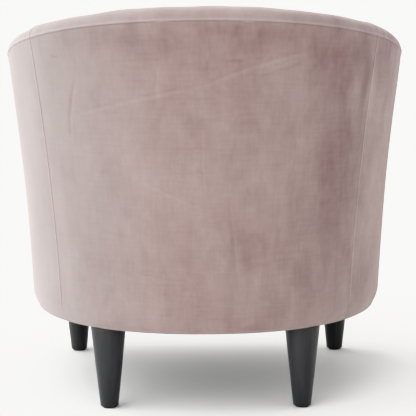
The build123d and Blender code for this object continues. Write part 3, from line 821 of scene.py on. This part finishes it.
# dust cover stretched under the frame, with a turned hem and a little sag
dustCloth = {
    "inset": 0.0316, "high": 0.1552, "thickness": 0.0008, "corner": 0.010, "outline": 400,
    "steps": (
        (0.0, 0.0), (0.0118, 0.0), (0.0130, -0.0006), (0.04, 0.0), (0.08, 0.0010), (0.14, 0.0022), (0.19, 0.0028),
    ),
}


def makeDustCloth():
    d = dustCloth
    reach = shell["depth"] - d["inset"]
    upper = [(d["inset"] + step, reach - step, d["corner"], d["high"] - sag) for step, sag in d["steps"]]
    lower = [(depth, forward, corner, z - d["thickness"]) for depth, forward, corner, z in upper]
    piece = ringPiece("dust_cloth", upper[::-1] + lower)
    x, y = planOutline(d["inset"], reach, d["corner"], d["outline"]).T
    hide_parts("dust_cover")
    return piece


dustPiece = makeDustCloth()


# turned legs with softened edges
legForm = {
    "top": 0.065, "foot": 0.033, "low": 0.003, "high": shell["legHeight"], "sides": 96,
    "footRound": 0.0014, "topRound": 0.0008,
}


def makeLeg(part):
    low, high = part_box(f"leg_{part}")
    middle = (low + high) / 2
    tall = legForm["high"] - legForm["low"]
    deselect()
    bpy.ops.mesh.primitive_cone_add(
        vertices=legForm["sides"], radius1=legForm["foot"] / 2, radius2=legForm["top"] / 2, depth=tall,
        location=(middle.x, middle.y, legForm["low"] + tall / 2),
    )
    piece = bpy.context.object
    piece.name = piece.data.name = f"turned_leg_{part}"
    bpy.ops.object.transform_apply(location=True, rotation=True, scale=True)
    for level, size, steps in ((legForm["low"], legForm["footRound"], 5), (legForm["high"], legForm["topRound"], 2)):
        bpy.ops.object.mode_set(mode="EDIT")
        bpy.ops.mesh.select_mode(type="EDGE")
        bpy.ops.mesh.select_all(action="DESELECT")
        bpy.ops.object.mode_set(mode="OBJECT")
        for edge in piece.data.edges:
            edge.select = all(abs(piece.data.vertices[v].co.z - level) < 0.0001 for v in edge.vertices)
        bpy.ops.object.mode_set(mode="EDIT")
        bpy.ops.mesh.bevel(offset=size, segments=steps)
        bpy.ops.object.mode_set(mode="OBJECT")
    bpy.ops.object.shade_smooth_by_angle(angle=radians(40))
    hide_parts(f"leg_{part}")
    return piece


legs = [makeLeg(part) for part in ("rear_left", "rear_right", "front_left", "front_right")]
print("deck, dust cloth and legs made")


# a socket that takes part in sums, so that the finishes read as arithmetic
class Wire:
    def __init__(self, finish, socket):
        self.finish = finish
        self.socket = socket

    def join(self, operation, first, second):
        return self.finish.add("ShaderNodeMath", {"operation": operation}, {0: first, 1: second})

    def __add__(self, other):
        return self.join("ADD", self, other)

    def __radd__(self, other):
        return self.join("ADD", other, self)

    def __sub__(self, other):
        return self.join("SUBTRACT", self, other)

    def __rsub__(self, other):
        return self.join("SUBTRACT", other, self)

    def __mul__(self, other):
        return self.join("MULTIPLY", self, other)


class Finish:
    def __init__(self, name, kind="materials", space="Object"):
        self.material = getattr(bpy.data, kind).new(name)
        self.material.use_nodes = True
        self.tree = self.material.node_tree
        self.tree.nodes.clear()
        self.place = self.add("ShaderNodeTexCoord", output=space)

    def add(self, kind, settings=None, inputs=None, output=0):
        node = self.tree.nodes.new(kind)
        for key, value in (settings or {}).items():
            if key == "stops":
                ramp = node.color_ramp
                while len(ramp.elements) < len(value):
                    ramp.elements.new(0.5)
                for stop, (position, colour) in zip(ramp.elements, value):
                    stop.position = position
                    stop.color = (*colour, 1)
            else:
                setattr(node, key, value)
        for key, value in (inputs or {}).items():
            if isinstance(value, Wire):
                self.tree.links.new(value.socket, node.inputs[key])
            else:
                node.inputs[key].default_value = value
        return Wire(self, node.outputs[output]) if node.outputs else None

    def noise(self, scale, stretch=(1, 1, 1), detail=2.0, roughness=0.5, distortion=0.0):
        place = self.add("ShaderNodeMapping", {}, {"Vector": self.place, "Scale": stretch})
        return self.add("ShaderNodeTexNoise", {}, {
            "Vector": place, "Scale": scale, "Detail": detail, "Roughness": roughness, "Distortion": distortion,
        })

    def painted(self, mark):
        return self.add("ShaderNodeAttribute", {"attribute_name": mark}, output="Fac")

    def ramp(self, value, *stops):
        return self.add("ShaderNodeValToRGB", {"stops": stops}, {"Fac": value})

    def bump(self, height, distance, strength=1.0):
        return self.add("ShaderNodeBump", {}, {"Height": height, "Distance": distance, "Strength": strength})

    def done(self, **sockets):
        shader = self.add("ShaderNodeBsdfPrincipled", {}, {key.replace("_", " "): v for key, v in sockets.items()})
        self.add("ShaderNodeOutputMaterial", {}, {"Surface": shader})
        return self.material


velvetLook = {
    # the ramp's dark end stands for pressed nap and painted shade, its light end for brushed nap, painted highlights
    # and painted light
    "pressed": (0.155, 0.094, 0.092), "middle": (0.244, 0.180, 0.171), "lightTone": (0.320, 0.253, 0.240),
    "sheen": 0.29, "sheenRoughness": 0.55, "sheenTint": (1.0, 0.985, 0.97, 1), "roughness": 0.85,
    # how much each layer and each painted mark changes the tone
    "patch": 0.40, "brush": 0.30, "blot": 0.24, "lines": 0.11, "pile": 0.20,
    "nap": 1.1, "crease": 0.13, "seam": 0.14, "calm": 0.6,
}


# short-pile velvet: nap that lies in patches, faint lines along and across the pile, and the pile itself
def velvet(name, along):
    look = velvetLook
    f = Finish(name)

    def stretched(lengthwise, crosswise=1.0):
        return tuple(lengthwise if axis == along else crosswise for axis in range(3))

    patch = f.noise(6.5, stretched(0.60), 3.0, 0.55, 0.8)
    brush = f.noise(22, stretched(0.45), 3.0, 0.6, 0.6)
    blot = f.noise(62, stretched(0.65), 4.0, 0.62, 0.4)
    streak = f.noise(210, stretched(0.07), 1.0)
    cross = f.noise(210, stretched(1.0, 0.10), 1.0)
    pile = f.noise(1500, (1, 1, 1), 2.0, 0.6)
    # the painted marks carry painted shade and painted highlights along seams and creases, nap patches with painted
    # shade and painted light, and painted sheen
    seam, crease, nap, frost = map(f.painted, ("seam", "crease", "nap", "frost"))
    blush = f.noise(13, stretched(0.5), 2.0, 0.5, 0.6)
    mottle = (patch - 0.5) * look["patch"] + (brush - 0.5) * look["brush"] + (blot - 0.5) * look["blot"]
    mottle = (mottle + (streak + cross - 1) * look["lines"]) * (1.15 - frost * look["calm"])
    mottle = mottle + (pile - 0.5) * look["pile"]
    tone = 0.5 + mottle + nap * look["nap"] + crease * look["crease"] - seam * look["seam"]
    colour = f.ramp(tone, (0.12, look["pressed"]), (0.50, look["middle"]), (0.86, look["lightTone"]))
    # painted sheen makes the colour greyer and a touch paler, and calms the mottle above
    colour = f.add("ShaderNodeHueSaturation", {}, {
        "Color": colour, "Hue": 0.5 - (blush - 0.5) * 0.010,
        "Saturation": 1 + (blush - 0.5) * 0.15 - frost * 0.45, "Value": 1 + frost * 0.015,
    })
    rough = look["roughness"] + (pile - 0.5) * 0.16 - (patch - 0.5) * 0.10
    normal = f.bump(pile * 0.5 + (streak + cross) * 0.2 + brush * 0.5 + blot * 0.3, 0.0006, 0.5)
    return f.done(Base_Color=colour, Roughness=rough, Normal=normal, Specular_IOR_Level=0.25,
                  Sheen_Weight=look["sheen"], Sheen_Roughness=look["sheenRoughness"], Sheen_Tint=look["sheenTint"])


def blackCloth():
    f = Finish("black non-woven cloth")
    fibre = f.noise(420, (1, 1, 1), 4.0, 0.7, 1.2)
    spots = f.noise(90, (1, 1, 1), 1.0)
    colour = f.ramp(fibre * 0.8 + spots * 0.2, (0.3, (0.012, 0.012, 0.014)), (0.7, (0.045, 0.045, 0.048)))
    return f.done(Base_Color=colour, Roughness=0.85 + (fibre - 0.5) * 0.2, Normal=f.bump(fibre, 0.0004, 0.6))


def blackLacquer():
    f = Finish("satin black stain")
    grain = f.noise(60, (1, 1, 0.06), 3.0, 0.6, 0.4)
    speck = f.noise(700, (1, 1, 0.5), 1.0)
    colour = f.ramp(grain + (speck - 0.5) * 0.2, (0.30, (0.0195, 0.020, 0.0215)), (0.72, (0.0345, 0.035, 0.0375)))
    rough = 0.42 + (grain - 0.5) * 0.16 + (speck - 0.5) * 0.06
    return f.done(Base_Color=colour, Roughness=rough, Normal=f.bump(grain, 0.0003, 0.25), Specular_IOR_Level=0.40)


def sawnWood(name, light, dark, scale, stretch):
    f = Finish(name)
    rings = f.noise(scale, stretch, 4.0, 0.6, 1.5)
    fibre = f.noise(scale * 9, stretch, 2.0, 0.6)
    colour = f.ramp(rings * 0.7 + fibre * 0.3, (0.35, dark), (0.65, light))
    return f.done(Base_Color=colour, Roughness=0.68 + (fibre - 0.5) * 0.2, Normal=f.bump(fibre, 0.0005, 0.4))


# one fine grain, coloured from dark to light
def speckled(name, grain, light, dark, rough, bump):
    f = Finish(name)
    speck = f.noise(*grain)
    colour = f.ramp(speck, (0.3, dark), (0.7, light))
    return f.done(Base_Color=colour, Roughness=rough + (speck - 0.5) * 0.2, Normal=f.bump(speck, *bump))


def drawnSteel(name, light, dark, rough):
    f = Finish(name)
    drawn = f.noise(260, (1, 1, 1), 3.0, 0.6)
    colour = f.ramp(drawn, (0.3, dark), (0.7, light))
    return f.done(Base_Color=colour, Roughness=rough + (drawn - 0.5) * 0.2, Metallic=1.0)


def pressedFelt():
    f = Finish("pressed felt")
    fibre = f.noise(300, (1, 1, 1), 5.0, 0.75, 2.0)
    fleck = f.noise(70, (1, 1, 1), 2.0)
    colour = f.ramp(fibre * 0.7 + fleck * 0.3, (0.3, (0.09, 0.09, 0.095)), (0.7, (0.25, 0.24, 0.25)))
    return f.done(Base_Color=colour, Roughness=0.92 + (fibre - 0.5) * 0.1, Normal=f.bump(fibre, 0.001, 0.6))


def dress(piece, material):
    piece.data.materials.clear()
    piece.data.materials.append(material)


uprightVelvet = velvet("velvet, pile down", 2)
seatVelvet = velvet("velvet, pile forward", 1)
for piece in velvetPieces:
    dress(piece, uprightVelvet)
    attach(piece, "chair")
dress(seat, seatVelvet)
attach(seat, "seat_cushion")
clothBlack = blackCloth()
for piece in (deckPad, dustPiece):
    dress(piece, clothBlack)
    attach(piece, "chair")
lacquer = blackLacquer()
for piece in legs:
    dress(piece, lacquer)
    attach(piece, "chair")

# the frame's own nodes that stay keep their shape and get a finish
frameFinishes = {
    "plywood": sawnWood("sawn plywood", (0.55, 0.39, 0.21), (0.36, 0.23, 0.11), 14, (1, 1, 6)),
    "timber": sawnWood("planed softwood", (0.52, 0.34, 0.16), (0.33, 0.19, 0.08), 20, (1, 1, 0.12)),
    "fibreboard": speckled(
        "thin hard fibreboard", (160, (1, 1, 1), 4.0, 0.7, 0.8), (0.235, 0.155, 0.095), (0.115, 0.070, 0.040),
        0.72, (0.0004, 0.4),
    ),
    "spring_steel": drawnSteel("oil-tempered wire", (0.16, 0.16, 0.17), (0.06, 0.06, 0.065), 0.42),
    "zinc_steel": drawnSteel("zinc plate", (0.62, 0.62, 0.60), (0.42, 0.42, 0.41), 0.36),
    "felt": pressedFelt(),
    "glide": speckled(
        "moulded glide", (520, (1, 1, 1), 2.0), (0.02, 0.02, 0.02), (0.01, 0.01, 0.01), 0.5, (0.0002, 0.3),
    ),
}
slotOf = {row["node"]: row["material_slot"] for row in frame["record"]["subparts"]}
for name, node in frame["nodes"].items():
    if not node.hide_render:
        dress(node, frameFinishes[slotOf[name]])
print("finishes given")

# studio: a pale floor, a large soft key from the picture's left, and an even sky
studio = {
    "floor": 600.0, "flatRadius": 60.0, "floorRise": 14.0,
    "floorLight": (0.93, 0.93, 0.925), "floorDark": (0.90, 0.90, 0.898),
    "sky": 1.66, "skyLow": (0.93, 0.928, 0.921), "skySide": (0.66, 0.658, 0.652), "skyHigh": (0.55, 0.549, 0.543),
    "key": 4.6, "keySize": 120, "keyTurn": (57, 0, 96),
}


def makeStudio():
    deselect()
    bpy.ops.mesh.primitive_grid_add(x_subdivisions=120, y_subdivisions=120, size=studio["floor"])
    floor = bpy.context.object
    floor.name = "floor"
    # the far floor rises a little, so that no horizon line shows behind the chair
    places = readPlaces(floor)
    far = np.clip(np.hypot(places[:, 0], places[:, 1]) - studio["flatRadius"], 0, None)
    places[:, 2] = studio["floorRise"] * (far / studio["floor"] * 2) ** 2
    writePlaces(floor, places)
    bpy.ops.object.shade_smooth()
    f = Finish("pale floor")
    cloud = f.noise(0.6, (1, 1, 1), 2.0)
    colour = f.ramp(cloud, (0.3, studio["floorDark"]), (0.7, studio["floorLight"]))
    floor.data.materials.append(f.done(Base_Color=colour, Roughness=0.6 + (cloud - 0.5) * 0.1,
                                       Specular_IOR_Level=0.2))
    sky = Finish("studio sky", "worlds", "Generated")
    height = sky.add("ShaderNodeSeparateXYZ", {}, {0: sky.place}, output="Z")
    colour = sky.ramp(height, (0.0, studio["skyLow"]), (0.3, studio["skySide"]), (1.0, studio["skyHigh"]))
    glow = sky.add("ShaderNodeBackground", {}, {"Color": colour, "Strength": studio["sky"]})
    sky.add("ShaderNodeOutputWorld", {}, {"Surface": glow})
    bpy.context.scene.world = sky.material
    bpy.ops.object.light_add(type="SUN", rotation=[radians(turn) for turn in studio["keyTurn"]])
    key = bpy.context.object
    key.name = "key"
    key.data.energy = studio["key"]
    key.data.angle = radians(studio["keySize"])
    bpy.context.scene.view_settings.view_transform = "Khronos PBR Neutral"


makeStudio()

# camera behind the chair, at the photograph's place
shot = {"place": (-0.01634, 2.7696, 0.7309), "lens": 124.37, "pitch": 0.1390, "roll": -0.0054, "turn": 0.0040}
bpy.ops.object.camera_add()
camera = bpy.context.object
camera.name = "camera"
camera.data.sensor_width = 36
camera.data.lens = shot["lens"]
camera.data.clip_end = 1000
camera.matrix_world = (
    Matrix.Translation(shot["place"]) @ Matrix.Rotation(pi + shot["turn"], 4, "Z")
    @ Matrix.Rotation(pi / 2 - shot["pitch"], 4, "X") @ Matrix.Rotation(shot["roll"], 4, "Z")
)
bpy.context.scene.camera = camera
print("studio and camera set")
